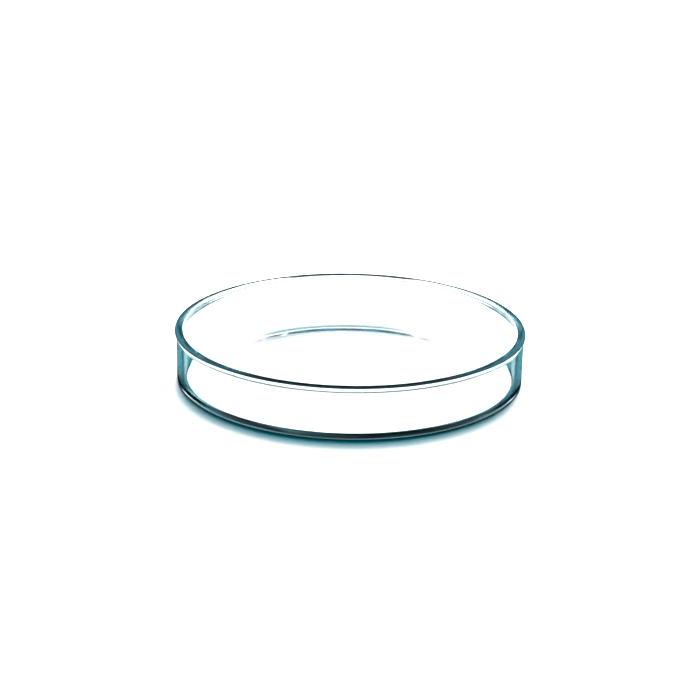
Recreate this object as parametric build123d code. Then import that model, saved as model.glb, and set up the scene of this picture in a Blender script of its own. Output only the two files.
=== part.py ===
"""Open laboratory petri dish, made in one piece of clear glass.

Millimetres, +Z up. The origin is the centre of the plane the dish stands on.
"""
import math
import os

from build123d import *

os.makedirs("parts", exist_ok=True)

# Overall size
rim_diameter = 100.0
height = 15.0

# Side wall
wall_outer_diameter = 99.1
wall_thickness = 1.9

# Floor: the dish stands on the flat ring between the recess and the heel
floor_height = 1.2
recess_depth = 0.2
recess_flat_diameter = 68.0
recess_edge_diameter = 78.4

# Rounded corners at the bottom, outside and inside
heel_radius = 1.2
inside_corner_radius = 0.6

# Lip: a low band round the top edge that stands proud of the wall
lip_outer_corner_radius = 0.75
lip_inner_corner_radius = 0.6
lip_face_height = 0.1
lip_underside_radius = 0.8

# Radii measured from the axis
lip_radius = rim_diameter / 2
wall_outer_radius = wall_outer_diameter / 2
wall_inner_radius = wall_outer_radius - wall_thickness
recess_flat_radius = recess_flat_diameter / 2
recess_edge_radius = recess_edge_diameter / 2

# Under the lip two equal arcs, one hollow and one full, lead from the wall to the lip
lip_overhang = lip_radius - wall_outer_radius
underside_angle = math.acos(1 - lip_overhang / 2 / lip_underside_radius)
underside_rise = lip_underside_radius * math.sin(underside_angle)
lip_face_top = height - lip_outer_corner_radius
inner_corner_bottom = height - lip_inner_corner_radius
lip_face_bottom = lip_face_top - lip_face_height
underside_middle_z = lip_face_bottom - underside_rise
wall_top = underside_middle_z - underside_rise

# Points halfway round each of the two arcs under the lip
arc_depth = lip_underside_radius * (1 - math.cos(underside_angle / 2))
arc_height = lip_underside_radius * math.sin(underside_angle / 2)
hollow_mid = (wall_outer_radius + arc_depth, wall_top + arc_height)
full_mid = (lip_radius - arc_depth, lip_face_bottom - arc_height)

# Points halfway round each quarter-round corner, as a share of its radius from the corner
corner_share = 1 - math.sqrt(0.5)
heel_mid = (
    wall_outer_radius - heel_radius * corner_share,
    heel_radius * corner_share,
)
lip_outer_mid = (
    lip_radius - lip_outer_corner_radius * corner_share,
    height - lip_outer_corner_radius * corner_share,
)
lip_inner_mid = (
    wall_inner_radius + lip_inner_corner_radius * corner_share,
    height - lip_inner_corner_radius * corner_share,
)
inside_mid = (
    wall_inner_radius - inside_corner_radius * corner_share,
    floor_height + inside_corner_radius * corner_share,
)

# Cross-section corners, in order from the axis under the floor to the axis on the floor
underside_axis = (0, recess_depth)
recess_start = (recess_flat_radius, recess_depth)
recess_end = (recess_edge_radius, 0)
heel_start = (wall_outer_radius - heel_radius, 0)
heel_end = (wall_outer_radius, heel_radius)
hollow_start = (wall_outer_radius, wall_top)
hollow_end = (wall_outer_radius + lip_overhang / 2, underside_middle_z)
lip_face_start = (lip_radius, lip_face_bottom)
lip_face_end = (lip_radius, lip_face_top)
lip_top_outer = (lip_radius - lip_outer_corner_radius, height)
lip_top_inner = (wall_inner_radius + lip_inner_corner_radius, height)
inner_wall_top = (wall_inner_radius, inner_corner_bottom)
inner_wall_bottom = (wall_inner_radius, floor_height + inside_corner_radius)
inside_floor_edge = (wall_inner_radius - inside_corner_radius, floor_height)
floor_axis = (0, floor_height)

with BuildPart() as dish_builder:
    with BuildSketch(Plane.XZ):
        with BuildLine():
            Line(underside_axis, recess_start)
            Spline(recess_start, recess_end, tangents=[(1, 0), (1, 0)])
            Line(recess_end, heel_start)
            ThreePointArc(heel_start, heel_mid, heel_end)
            Line(heel_end, hollow_start)
            ThreePointArc(hollow_start, hollow_mid, hollow_end)
            ThreePointArc(hollow_end, full_mid, lip_face_start)
            Line(lip_face_start, lip_face_end)
            ThreePointArc(lip_face_end, lip_outer_mid, lip_top_outer)
            Line(lip_top_outer, lip_top_inner)
            ThreePointArc(lip_top_inner, lip_inner_mid, inner_wall_top)
            Line(inner_wall_top, inner_wall_bottom)
            ThreePointArc(inner_wall_bottom, inside_mid, inside_floor_edge)
            Line(inside_floor_edge, floor_axis)
            Line(floor_axis, underside_axis)
        make_face()
    revolve(axis=Axis.Z)

dish = dish_builder.part
export_step(dish, "parts/dish.step")
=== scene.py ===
import math

import bmesh
import bpy
from mathutils import Matrix, Vector


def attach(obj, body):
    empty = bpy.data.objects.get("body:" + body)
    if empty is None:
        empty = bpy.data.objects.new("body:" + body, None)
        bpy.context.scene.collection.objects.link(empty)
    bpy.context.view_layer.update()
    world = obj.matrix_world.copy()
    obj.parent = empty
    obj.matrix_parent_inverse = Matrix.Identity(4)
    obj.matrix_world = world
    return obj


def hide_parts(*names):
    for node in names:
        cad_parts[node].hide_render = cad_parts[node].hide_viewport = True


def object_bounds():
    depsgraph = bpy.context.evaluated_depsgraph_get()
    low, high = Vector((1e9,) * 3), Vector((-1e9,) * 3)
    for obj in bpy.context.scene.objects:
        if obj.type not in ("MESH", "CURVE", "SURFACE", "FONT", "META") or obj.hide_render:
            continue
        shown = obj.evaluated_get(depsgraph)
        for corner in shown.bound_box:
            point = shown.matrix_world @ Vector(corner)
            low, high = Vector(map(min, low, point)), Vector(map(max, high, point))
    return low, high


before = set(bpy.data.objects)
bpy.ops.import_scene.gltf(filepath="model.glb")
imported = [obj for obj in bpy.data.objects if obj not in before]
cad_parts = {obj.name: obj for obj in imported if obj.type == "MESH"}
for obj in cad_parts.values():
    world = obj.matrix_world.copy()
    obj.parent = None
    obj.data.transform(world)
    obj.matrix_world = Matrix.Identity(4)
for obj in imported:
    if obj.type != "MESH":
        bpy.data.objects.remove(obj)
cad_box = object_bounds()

MM = 0.001

# The dish's cross-section, in millimetres
LIP_R = round(cad_box[1][0] / MM, 3)
HEIGHT = round(cad_box[1][2] / MM, 3)
LIP_PROUD = 0.45
WALL = 1.9
WALL_OUT = LIP_R - LIP_PROUD
WALL_IN = WALL_OUT - WALL
FLOOR_TOP = 1.2
RECESS = 0.2
RECESS_IN = 34.0
RECESS_OUT = 39.2
HEEL = 1.2
INSIDE = 0.6
LIP_OUT = 0.75
LIP_IN = 0.6
LIP_FACE = 0.1
UNDER = 0.8

SEGMENTS = 384

# How far the melted lip strays from the true shape, in millimetres, and where that starts
STRAY_IN = 0.02
STRAY_DOWN = 0.05
STRAY_FROM = 12.0

REFRACTION = 1.473
CLEAR = (1.0, 1.0, 1.0)

# The camera in front of the dish: how far it is lifted, in degrees, and how far away, in millimetres
CAMERA_LIFT = 20.7
CAMERA_DISTANCE = 500.0


def arc(cx, cz, radius, start, end, steps):
    """Points on a circle in the cross-section, from one angle to another, in degrees."""
    points = []
    for i in range(steps + 1):
        a = math.radians(start + (end - start) * i / steps)
        points.append((cx + radius * math.cos(a), cz + radius * math.sin(a)))
    return points


def run(start, end, steps):
    """Points inside a straight run, both ends left out."""
    return [
        (start[0] + (end[0] - start[0]) * i / steps, start[1] + (end[1] - start[1]) * i / steps)
        for i in range(1, steps)
    ]


def recess_step(steps):
    """The smooth step down from the recess to the ring that the dish stands on."""
    points = []
    for i in range(steps + 1):
        u = i / steps
        fall = u * u * (3 - 2 * u)
        points.append((RECESS_IN + (RECESS_OUT - RECESS_IN) * u, RECESS * (1 - fall)))
    return points


def cross_section():
    """The closed outline from the axis under the floor, round the wall, to the axis on the floor."""
    half_step = LIP_PROUD / 2
    turn = math.degrees(math.acos(1 - half_step / UNDER))
    rise = UNDER * math.sin(math.radians(turn))
    face_top = HEIGHT - LIP_OUT
    face_bottom = face_top - LIP_FACE
    wall_top = face_bottom - 2 * rise
    heel_r = WALL_OUT - HEEL

    points = [(0.0, RECESS)] + run((0.0, RECESS), (RECESS_IN, RECESS), 20)
    points += recess_step(40)
    points += run((RECESS_OUT, 0.0), (heel_r, 0.0), 8)
    points += arc(heel_r, HEEL, HEEL, -90, 0, 20)
    points += run((WALL_OUT, HEEL), (WALL_OUT, wall_top), 16)
    points += arc(WALL_OUT + UNDER, wall_top, UNDER, 180, 180 - turn, 8)
    points += arc(LIP_R - UNDER, face_bottom, UNDER, -turn, 0, 8)[1:]
    points += arc(LIP_R - LIP_OUT, face_top, LIP_OUT, 0, 90, 20)
    points += run((LIP_R - LIP_OUT, HEIGHT), (WALL_IN + LIP_IN, HEIGHT), 8)
    points += arc(WALL_IN + LIP_IN, HEIGHT - LIP_IN, LIP_IN, 90, 180, 16)
    points += run((WALL_IN, HEIGHT - LIP_IN), (WALL_IN, FLOOR_TOP + INSIDE), 16)
    points += arc(WALL_IN - INSIDE, FLOOR_TOP + INSIDE, INSIDE, 0, -90, 16)
    points += run((WALL_IN - INSIDE, FLOOR_TOP), (0.0, FLOOR_TOP), 24)
    points.append((0.0, FLOOR_TOP))
    return points


def waves(angle, parts):
    """A sum of waves round the dish, each with its share, its count per turn and its start."""
    return sum(share * math.sin(count * angle + start) for share, count, start in parts)


def stray(z, angle):
    """How far the melted glass strays inward and downward at this height and angle, in millimetres."""
    lip = min(1.0, max(0.0, (z - STRAY_FROM) / (HEIGHT - STRAY_FROM)))
    ripple = waves(angle, ((0.45, 3, 0.6), (0.35, 5, 2.1), (0.2, 11, 4.0)))
    streak = waves(angle, ((0.6, 17, 1.3), (0.4, 29, 0.2)))
    return STRAY_IN * (1 + streak) / 2 * lip, STRAY_DOWN * (1 + ripple) / 2 * lip * lip


def lathe(name, outline):
    """A closed body of revolution about Z, in metres, with smooth faces."""
    bm = bmesh.new()
    rings = []
    for r, z in outline:
        if r == 0.0:
            rings.append([bm.verts.new((0.0, 0.0, z * MM))])
            continue
        ring = []
        for s in range(SEGMENTS):
            a = 2 * math.pi * s / SEGMENTS
            inward, down = stray(z, a)
            reach = (r - inward) * MM
            ring.append(bm.verts.new((reach * math.cos(a), reach * math.sin(a), (z - down) * MM)))
        rings.append(ring)
    for low, high in zip(rings, rings[1:]):
        for s in range(SEGMENTS):
            t = (s + 1) % SEGMENTS
            if len(low) == 1:
                bm.faces.new((low[0], high[t], high[s]))
            elif len(high) == 1:
                bm.faces.new((low[s], low[t], high[0]))
            else:
                bm.faces.new((low[s], low[t], high[t], high[s]))
    bmesh.ops.recalc_face_normals(bm, faces=bm.faces)
    for face in bm.faces:
        face.smooth = True
    mesh = bpy.data.meshes.new(name)
    bm.to_mesh(mesh)
    bm.free()
    piece = bpy.data.objects.new(name, mesh)
    bpy.context.scene.collection.objects.link(piece)
    return piece


class Nodes:
    """Short calls for building one node tree. Colours are given as red, green and blue."""

    def __init__(self, tree):
        self.tree = tree

    def new(self, kind):
        return self.tree.nodes.new(kind)

    def link(self, source, target):
        self.tree.links.new(source, target)

    def feed(self, socket, value):
        if isinstance(value, bpy.types.NodeSocket):
            self.link(value, socket)
        elif isinstance(value, tuple):
            socket.default_value = (*value, 1.0)
        else:
            socket.default_value = value

    def split(self, vector):
        node = self.new("ShaderNodeSeparateXYZ")
        self.link(vector, node.inputs[0])
        return node.outputs["X"], node.outputs["Y"], node.outputs["Z"]

    def math(self, operation, a, b=0.0):
        node = self.new("ShaderNodeMath")
        node.operation = operation
        self.feed(node.inputs[0], a)
        self.feed(node.inputs[1], b)
        return node.outputs[0]

    def times(self, a, b):
        return self.math("MULTIPLY", a, b)

    def ease(self, value, start, end, low=0.0, high=1.0):
        """Goes smoothly from low to high as the value goes from start to end."""
        node = self.new("ShaderNodeMapRange")
        node.interpolation_type = "SMOOTHSTEP"
        self.feed(node.inputs["Value"], value)
        self.feed(node.inputs["From Min"], start)
        self.feed(node.inputs["From Max"], end)
        self.feed(node.inputs["To Min"], low)
        self.feed(node.inputs["To Max"], high)
        return node.outputs[0]

    def mix(self, factor, a, b):
        node = self.new("ShaderNodeMix")
        node.data_type = "RGBA"
        self.feed(node.inputs["Factor"], factor)
        self.feed(node.inputs[6], a)
        self.feed(node.inputs[7], b)
        return node.outputs[2]

    def scale(self, colour, factor):
        node = self.new("ShaderNodeVectorMath")
        node.operation = "SCALE"
        self.link(colour, node.inputs[0])
        self.link(factor, node.inputs["Scale"])
        return node.outputs[0]

    def grain(self, x, y, z):
        place = self.new("ShaderNodeCombineXYZ")
        for socket, value in zip(place.inputs, (x, y, z)):
            self.link(value, socket)
        node = self.new("ShaderNodeTexNoise")
        node.inputs["Scale"].default_value = 1.0
        node.inputs["Detail"].default_value = 2.0
        self.link(place.outputs[0], node.inputs["Vector"])
        return node.outputs["Fac"]

    def ramp(self, value, *stops):
        """A colour that follows the value through the stops, each a position and a colour."""
        node = self.new("ShaderNodeValToRGB")
        self.link(value, node.inputs[0])
        elements = node.color_ramp.elements
        elements[0].position = stops[0][0]
        elements[1].position = stops[-1][0]
        elements[0].color = (*stops[0][1], 1.0)
        elements[1].color = (*stops[-1][1], 1.0)
        for position, colour in stops[1:-1]:
            elements.new(position).color = (*colour, 1.0)
        return node.outputs[0]

    def ramp_over(self, value, span, *stops):
        """A ramp whose stops are given in the value's own units, up to the span."""
        return self.ramp(self.math("DIVIDE", value, span), *((at / span, colour) for at, colour in stops))


def tint(red, green, blue):
    """A glass colour. The shader takes its root at each face, so it is squared here."""
    return (red * red, green * green, blue * blue)


class Spot:
    """Where on the dish a point is, in millimetres, and which way its face looks, as node outputs."""

    def __init__(self, n):
        place = n.new("ShaderNodeTexCoord")
        normal_x, normal_y, self.normal_z = n.split(place.outputs["Normal"])
        self.x, self.y, self.height = (n.times(part, 1000.0) for part in n.split(place.outputs["Object"]))
        squares = n.math("ADD", n.times(self.x, self.x), n.times(self.y, self.y))
        self.radius = n.math("SQRT", squares)
        outward = n.math("ADD", n.times(normal_x, self.x), n.times(normal_y, self.y))
        self.outside = n.ease(outward, 8.0, 20.0)
        self.inside = n.ease(outward, -8.0, -20.0)
        self.entering = n.math("SUBTRACT", 1.0, n.new("ShaderNodeNewGeometry").outputs["Backfacing"])
        self.off_centre = n.math("ABSOLUTE", self.x)

        # The tints below paint shade on the glass where it is seen at a glancing angle: nought is face on
        # and one is edge on
        glance = n.new("ShaderNodeLayerWeight")
        glance.inputs["Blend"].default_value = 0.5
        self.facing = glance.outputs["Facing"]

        # Fine level lines left by the drawing of the glass: long round the dish and thin up the wall
        level = n.math("ADD", self.height, self.radius)
        long_x, long_y = (n.math("DIVIDE", part, 25.0) for part in (self.x, self.y))
        self.drawn = n.grain(long_x, long_y, n.math("DIVIDE", level, 0.8))


def dark_foot_shade(n, spot):
    """Painted shade: nearly black glass with fine level lines, lighter at the middle of the front and at
    the sides, for the dark refracted surroundings at the foot and heel.
    """
    lines = n.ramp(
        spot.drawn,
        (0.36, tint(0.002, 0.01, 0.013)),
        (0.46, tint(0.01, 0.03, 0.035)),
        (0.56, tint(0.02, 0.06, 0.07)),
        (0.66, tint(0.06, 0.14, 0.16)),
    )
    middle = n.ease(spot.off_centre, 6.0, 28.0, 5.0, 1.0)
    sides = n.ease(spot.off_centre, 32.0, 46.0, 0.0, 6.0)
    return n.scale(lines, n.math("ADD", middle, sides))


def camera_back():
    """The direction from the dish to the camera."""
    lift = math.radians(CAMERA_LIFT)
    return Vector((0.0, -math.cos(lift), math.sin(lift)))


def glance_at(height, angle):
    """How glancing the camera's view of the outer wall is, at this height and angle from the front."""
    a = math.radians(angle)
    outward = Vector((math.sin(a), -math.cos(a), 0.0))
    point = outward * WALL_OUT + Vector((0.0, 0.0, height))
    towards = (camera_back() * CAMERA_DISTANCE - point).normalized()
    return 1.0 - outward.dot(towards)


def window_edge(n, spot):
    """How glancing the view is at the edge of the wall's clear window, where the painted shade begins, by
    height.
    """
    # Each height with the edge's angle from the front, in degrees
    edge = (
        (2.15, 0.0), (2.3, 30.0), (2.5, 45.0), (3.0, 55.0), (3.65, 60.0), (4.5, 63.0), (5.4, 64.5),
        (6.5, 64.8), (8.0, 64.3), (9.5, 63.0), (11.0, 61.5), (12.9, 60.0), (13.5, 59.2),
    )
    stops = [(0.0, 0.0)] + [(height, glance_at(height, angle)) for height, angle in edge]
    return n.ramp_over(spot.height, HEIGHT, *((z, (facing, facing, facing)) for z, facing in stops))


def outer_wall_shade(n, spot, dark):
    """Painted shade on the outer wall: a clear window, framed at both sides by painted teal shade with
    upright streaks and a dark outline.
    """
    past = n.math("SUBTRACT", spot.facing, window_edge(n, spot))
    outline = n.ease(past, 0.021, 0.006)
    side_shade_streaks = n.ramp(
        spot.facing,
        (0.0, tint(0.05, 0.15, 0.18)),
        (0.60, tint(0.05, 0.15, 0.18)),
        (0.672, tint(0.08, 0.22, 0.26)),
        (0.687, tint(0.28, 0.42, 0.44)),
        (0.717, tint(0.24, 0.38, 0.42)),
        (0.732, tint(0.14, 0.26, 0.29)),
        (0.742, tint(0.02, 0.09, 0.11)),
        (0.757, tint(0.02, 0.09, 0.11)),
        (0.775, tint(0.035, 0.15, 0.18)),
        (0.82, tint(0.065, 0.21, 0.25)),
        (0.90, tint(0.09, 0.29, 0.35)),
        (1.0, tint(0.40, 0.60, 0.65)),
    )
    foot = n.ramp(
        spot.facing,
        (0.0, tint(0.04, 0.12, 0.14)),
        (0.70, tint(0.06, 0.18, 0.21)),
        (0.76, tint(0.02, 0.09, 0.11)),
        (0.85, tint(0.10, 0.24, 0.28)),
        (1.0, tint(0.30, 0.48, 0.52)),
    )
    foot = n.scale(foot, n.ease(spot.drawn, 0.35, 0.65, 0.35, 1.5))
    wall = n.mix(n.ease(spot.height, 7.5, 4.0), side_shade_streaks, foot)
    # Painted shade: a dark outline along the window's edge, darker still low on the wall
    wall = n.mix(outline, wall, tint(0.012, 0.07, 0.085))
    wall = n.mix(n.ease(spot.height, 3.9, 2.5), wall, dark)
    wall = n.mix(n.times(outline, n.ease(spot.height, 4.2, 3.2)), wall, tint(0.004, 0.02, 0.025))
    wall = n.mix(n.ease(past, -0.006, 0.001), CLEAR, wall)
    return n.times(spot.outside, n.ease(spot.height, 13.6, 13.4)), wall


def under_lip_shade(n, spot):
    """A painted line of shade under the lip, darker the more glancing the view."""
    band = n.times(n.ease(spot.height, 13.15, 13.5), n.ease(spot.height, 14.2, 13.8))
    line = n.ramp(
        spot.facing,
        (0.0, tint(0.80, 0.90, 0.92)),
        (0.16, tint(0.60, 0.72, 0.75)),
        (0.30, tint(0.14, 0.28, 0.31)),
        (0.45, tint(0.005, 0.02, 0.025)),
        (0.62, tint(0.005, 0.02, 0.025)),
        (0.72, tint(0.12, 0.25, 0.28)),
    )
    return n.times(spot.outside, band), line


def inside_shade_band(n, spot):
    """Inside, just under the lip: a band of painted teal shade that fades away at the back."""
    band = n.times(n.ease(spot.height, 13.3, 13.5), n.ease(spot.height, 14.3, 13.9))
    colour = n.ramp(
        spot.facing,
        (0.0, CLEAR),
        (0.35, CLEAR),
        (0.5, tint(0.20, 0.28, 0.30)),
        (0.8, tint(0.10, 0.18, 0.20)),
        (0.95, tint(0.25, 0.30, 0.32)),
    )
    return n.times(spot.inside, band), colour


def inside_shade_seam(n, spot):
    """A darker edge of painted shade below the inside band, deeper where the view is more glancing."""
    bottom = n.ease(spot.facing, 0.3, 0.6, 13.3, 12.8)
    start = n.math("SUBTRACT", bottom, 0.15)
    band = n.times(n.ease(spot.height, start, bottom), n.ease(spot.height, 13.65, 13.45))
    colour = n.ramp(
        spot.facing,
        (0.0, tint(0.42, 0.43, 0.44)),
        (0.18, tint(0.36, 0.39, 0.40)),
        (0.30, tint(0.12, 0.22, 0.25)),
        (0.42, tint(0.05, 0.12, 0.14)),
        (0.60, tint(0.03, 0.09, 0.11)),
        (0.80, tint(0.03, 0.10, 0.12)),
        (0.95, tint(0.12, 0.20, 0.22)),
    )
    return n.times(spot.inside, band), colour


def lip_top_shade(n, spot):
    """Painted shade on the melted edge: rings of teal and near-black tint that change round the dish,
    nearly black at the front.
    """
    side = n.ramp_over(
        spot.radius, LIP_R,
        (47.8, tint(0.20, 0.30, 0.33)),
        (48.1, tint(0.04, 0.13, 0.15)),
        (48.5, tint(0.12, 0.28, 0.32)),
        (48.9, tint(0.09, 0.22, 0.26)),
        (49.2, tint(0.04, 0.13, 0.16)),
        (49.5, tint(0.07, 0.20, 0.24)),
        (49.8, tint(0.04, 0.14, 0.17)),
        (50.0, tint(0.03, 0.10, 0.12)),
    )
    back = n.ramp_over(
        spot.radius, LIP_R,
        (48.1, CLEAR),
        (48.4, tint(0.01, 0.03, 0.035)),
        (48.7, tint(0.01, 0.03, 0.035)),
        (49.0, tint(0.03, 0.10, 0.12)),
        (49.3, tint(0.02, 0.06, 0.07)),
        (49.6, tint(0.01, 0.04, 0.05)),
        (50.0, tint(0.02, 0.06, 0.07)),
    )
    far_back = n.ramp_over(
        spot.radius, LIP_R,
        (47.68, CLEAR),
        (47.85, tint(0.02, 0.035, 0.04)),
        (50.0, tint(0.02, 0.035, 0.04)),
    )
    lip = n.mix(n.ease(spot.y, -2.0, 12.0), side, back)
    lip = n.mix(n.ease(spot.y, 38.0, 45.0), lip, far_back)
    lip = n.scale(lip, n.ease(spot.drawn, 0.35, 0.65, 0.3, 2.2))
    # Painted shade: the front of the lip is made nearly black
    lip = n.mix(n.ease(spot.y, -28.0, -42.0), lip, (0.0001, 0.0004, 0.0006))
    upward = n.ease(spot.normal_z, 0.46, 0.58)
    return n.times(n.ease(spot.height, 14.0, 14.2), upward), lip


def recess_shade_rings(n, spot):
    """Under the floor, painted rings of shade round the recess step, on the far side only, standing in
    for the lines the step refracts.
    """
    rings = n.ramp_over(
        spot.radius, LIP_R,
        (30.8, CLEAR),
        (32.1, tint(0.58, 0.59, 0.60)),
        (32.9, tint(0.50, 0.53, 0.54)),
        (33.8, tint(0.58, 0.59, 0.60)),
        (34.9, tint(0.45, 0.49, 0.50)),
        (35.9, tint(0.58, 0.60, 0.61)),
        (36.6, tint(0.58, 0.60, 0.61)),
        (37.0, tint(0.12, 0.17, 0.18)),
        (37.8, tint(0.12, 0.17, 0.18)),
        (38.2, tint(0.70, 0.72, 0.73)),
        (38.9, tint(0.70, 0.72, 0.73)),
        (39.2, tint(0.16, 0.27, 0.30)),
        (40.4, tint(0.16, 0.27, 0.30)),
        (40.9, tint(0.55, 0.57, 0.58)),
        (42.8, tint(0.60, 0.61, 0.62)),
        (44.5, CLEAR),
    )
    across = n.times(n.ease(spot.x, -37.0, -22.0), n.ease(spot.x, 36.0, 8.0))
    far = n.times(across, n.ease(spot.y, 12.0, 24.0))
    level_face = n.ease(n.math("ABSOLUTE", spot.normal_z), 0.9, 0.95)
    underside = n.times(level_face, n.ease(spot.height, 0.6, 0.4))
    return n.times(underside, far), rings


def glass_tint_and_shade(n, spot):
    """The tint of the glass where light enters it, and under the floor also where light leaves it; nearly
    all of it is painted shade on the wall, heel, lip and recess.
    """
    dark = dark_foot_shade(n, spot)
    # Painted shade on the heel: the same near-black lines as the foot of the wall
    heel = n.times(n.ease(spot.height, 1.25, 1.0), spot.outside)
    colour = CLEAR
    for mask, painted in (
        outer_wall_shade(n, spot, dark),
        under_lip_shade(n, spot),
        inside_shade_band(n, spot),
        inside_shade_seam(n, spot),
        (heel, dark),
        lip_top_shade(n, spot),
    ):
        colour = n.mix(mask, colour, painted)
    colour = n.mix(spot.entering, CLEAR, colour)
    mask, rings = recess_shade_rings(n, spot)
    return n.mix(mask, colour, rings)


def fine_lines(n, spot):
    """A very shallow relief of level lines on the lip and the foot."""
    foot_and_lip = n.math("MAXIMUM", n.ease(spot.height, 2.2, 1.8), n.ease(spot.height, 14.0, 14.4))
    lined = n.times(foot_and_lip, n.ease(spot.radius, 47.4, 47.65))
    bump = n.new("ShaderNodeBump")
    bump.inputs["Strength"].default_value = 1.0
    bump.inputs["Distance"].default_value = 0.06 * MM
    n.link(n.times(spot.drawn, lined), bump.inputs["Height"])
    return bump.outputs["Normal"]


def reflection_colour(n, spot):
    """Painted reflection: low on the wall the reflection is tinted so that only some of the level lines
    catch the light.
    """
    painted_shine = n.ramp(
        spot.drawn,
        (0.38, (0.01, 0.02, 0.02)),
        (0.50, (0.06, 0.12, 0.14)),
        (0.57, (0.28, 0.48, 0.54)),
        (0.66, (0.8, 1.0, 1.0)),
    )
    return n.mix(n.times(n.ease(spot.height, 3.2, 2.4), spot.outside), CLEAR, painted_shine)


def lamp_light(n, spot):
    """Lamps shine straight through the glass, tinted by the wall and the heel at the front."""
    low = n.ramp_over(
        spot.height, 5.0,
        (0.0, (0.01, 0.02, 0.022)),
        (1.0, (0.02, 0.07, 0.08)),
        (2.0, (0.015, 0.15, 0.17)),
        (5.0, (0.01, 0.28, 0.32)),
    )
    heel = n.times(n.ease(spot.radius, 47.2, 47.6), n.ease(spot.normal_z, -0.95, -0.7))
    rim = n.math("MAXIMUM", heel, n.ease(spot.radius, 48.0, 48.4))
    front = n.ease(spot.y, 30.0, -5.0)
    through = n.new("ShaderNodeBsdfTransparent")
    n.link(n.mix(n.times(rim, front), CLEAR, low), through.inputs[0])
    return through.outputs[0]


def dish_glass():
    mat = bpy.data.materials.new("dish_glass")
    mat.use_nodes = True
    n = Nodes(mat.node_tree)
    spot = Spot(n)
    output = mat.node_tree.nodes["Material Output"]

    body = n.new("ShaderNodeVolumeAbsorption")
    body.inputs["Color"].default_value = (0.0, 0.55, 0.65, 1.0)
    body.inputs["Density"].default_value = 20.0
    n.link(body.outputs[0], output.inputs["Volume"])

    shader = mat.node_tree.nodes["Principled BSDF"]
    shader.inputs["Transmission Weight"].default_value = 1.0
    shader.inputs["Roughness"].default_value = 0.0
    shader.inputs["IOR"].default_value = REFRACTION
    n.link(glass_tint_and_shade(n, spot), shader.inputs["Base Color"])
    n.link(fine_lines(n, spot), shader.inputs["Normal"])
    n.link(reflection_colour(n, spot), shader.inputs["Specular Tint"])

    rays = n.new("ShaderNodeLightPath")
    to_lamp = n.math("MAXIMUM", rays.outputs["Is Shadow Ray"], rays.outputs["Is Diffuse Ray"])
    both = n.new("ShaderNodeMixShader")
    n.link(to_lamp, both.inputs[0])
    n.link(shader.outputs[0], both.inputs[1])
    n.link(lamp_light(n, spot), both.inputs[2])
    n.link(both.outputs[0], output.inputs["Surface"])
    return mat


def studio_floor():
    half = 4.0
    # A hair under the dish, so that the two never share a plane
    below = -0.03 * MM
    mesh = bpy.data.meshes.new("floor")
    corners = [(-half, -half, below), (half, -half, below), (half, half, below), (-half, half, below)]
    mesh.from_pydata(corners, [], [(0, 1, 2, 3)])
    floor = bpy.data.objects.new("floor", mesh)
    bpy.context.scene.collection.objects.link(floor)
    mat = bpy.data.materials.new("pale_floor")
    mat.use_nodes = True
    shader = mat.node_tree.nodes["Principled BSDF"]
    shader.inputs["Base Color"].default_value = (0.92, 0.92, 0.92, 1.0)
    shader.inputs["Roughness"].default_value = 0.9
    shader.inputs["Specular IOR Level"].default_value = 0.0
    mesh.materials.append(mat)
    floor.visible_glossy = False


def soft_lamps():
    """A tall soft strip behind the dish, a little to the right: three discs one above another."""
    aside = math.radians(5)
    for name, lift, energy in (("low", 48.0, 2.87), ("middle", 61.5, 4.52), ("high", 75.0, 2.87)):
        lamp = bpy.data.lights.new("softbox_" + name, "SUN")
        lamp.energy = energy
        lamp.angle = math.radians(26)
        key = bpy.data.objects.new("softbox_" + name, lamp)
        bpy.context.scene.collection.objects.link(key)
        up = math.radians(lift)
        towards = Vector((math.sin(aside) * math.cos(up), math.cos(aside) * math.cos(up), math.sin(up)))
        key.rotation_mode = "QUATERNION"
        key.rotation_quaternion = towards.to_track_quat("Z", "Y")
        key.visible_glossy = False
        key.visible_transmission = False


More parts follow.
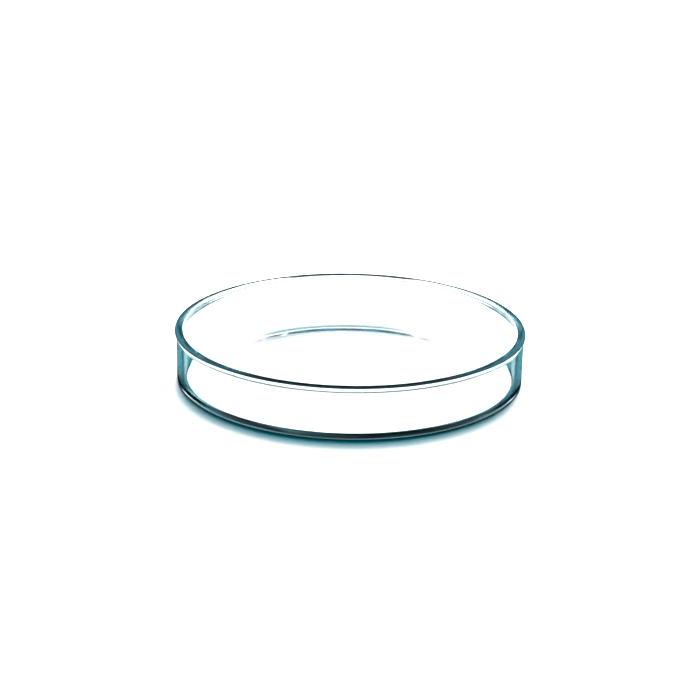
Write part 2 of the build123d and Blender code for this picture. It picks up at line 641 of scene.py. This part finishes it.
def studio_surroundings():
    """White to the camera. The glass sees teal panels at the sides and in front, and dark elsewhere."""
    world = bpy.data.worlds.new("studio")
    bpy.context.scene.world = world
    world.use_nodes = True
    world.cycles_visibility.diffuse = False
    n = Nodes(world.node_tree)
    east, north, up = n.split(n.new("ShaderNodeTexCoord").outputs["Generated"])
    aside = n.math("ABSOLUTE", east)

    dark = (0.004, 0.012, 0.016)
    low_panels = n.mix(n.ease(aside, 0.05, 0.40), dark, (0.11, 0.42, 0.50))
    high_panels = n.mix(n.ease(aside, 0.055, 0.13), dark, (0.28, 0.80, 0.96))
    walls = n.mix(n.ease(up, -0.05, 0.05), dark, low_panels)
    walls = n.mix(n.ease(up, 0.2, 0.45), walls, high_panels)
    walls = n.mix(n.ease(up, 0.6, 0.85), walls, (0.09, 0.16, 0.18))
    ahead = n.times(n.ease(north, 0.45, 0.05), n.ease(up, 0.05, -0.1))
    walls = n.mix(ahead, walls, (0.55, 1.2, 1.4))

    # Below the horizon the glass sees the table top: teal, and pale at both sides
    beside = n.times(n.ease(aside, 0.25, 0.5), n.ease(up, -0.50, -0.46))
    table = n.mix(beside, (0.50, 0.90, 1.0), (2.6, 3.1, 3.3))
    table = n.mix(n.ease(up, -0.58, -0.66), table, (0.55, 0.85, 0.92))
    walls = n.mix(n.ease(up, -0.405, -0.43), walls, table)

    to_camera = n.new("ShaderNodeLightPath").outputs["Is Camera Ray"]
    light = world.node_tree.nodes["Background"]
    n.link(n.mix(to_camera, walls, CLEAR), light.inputs[0])
    light.inputs[1].default_value = 1.9


def photo_camera():
    data = bpy.data.cameras.new("camera")
    data.lens = 88.9714
    data.sensor_width = 36.0
    data.shift_x = 0.000857
    data.shift_y = 0.034286
    data.clip_start = 0.01
    camera = bpy.data.objects.new("camera", data)
    bpy.context.scene.collection.objects.link(camera)
    roll = Matrix.Rotation(math.radians(0.96), 4, "Z").to_quaternion()
    camera.location = camera_back() * CAMERA_DISTANCE * MM
    camera.rotation_mode = "QUATERNION"
    camera.rotation_quaternion = (-camera_back()).to_track_quat("-Z", "Y") @ roll
    bpy.context.scene.camera = camera


photo_camera()
studio_floor()
soft_lamps()
studio_surroundings()

dish = lathe("dish_body", cross_section())
dish.data.materials.append(dish_glass())
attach(dish, "root")
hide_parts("dish")

bpy.context.scene.view_settings.view_transform = "Standard"
bpy.context.scene.cycles.max_bounces = 32
bpy.context.scene.cycles.transmission_bounces = 32
bpy.context.scene.cycles.glossy_bounces = 16
bpy.context.scene.cycles.transparent_max_bounces = 32
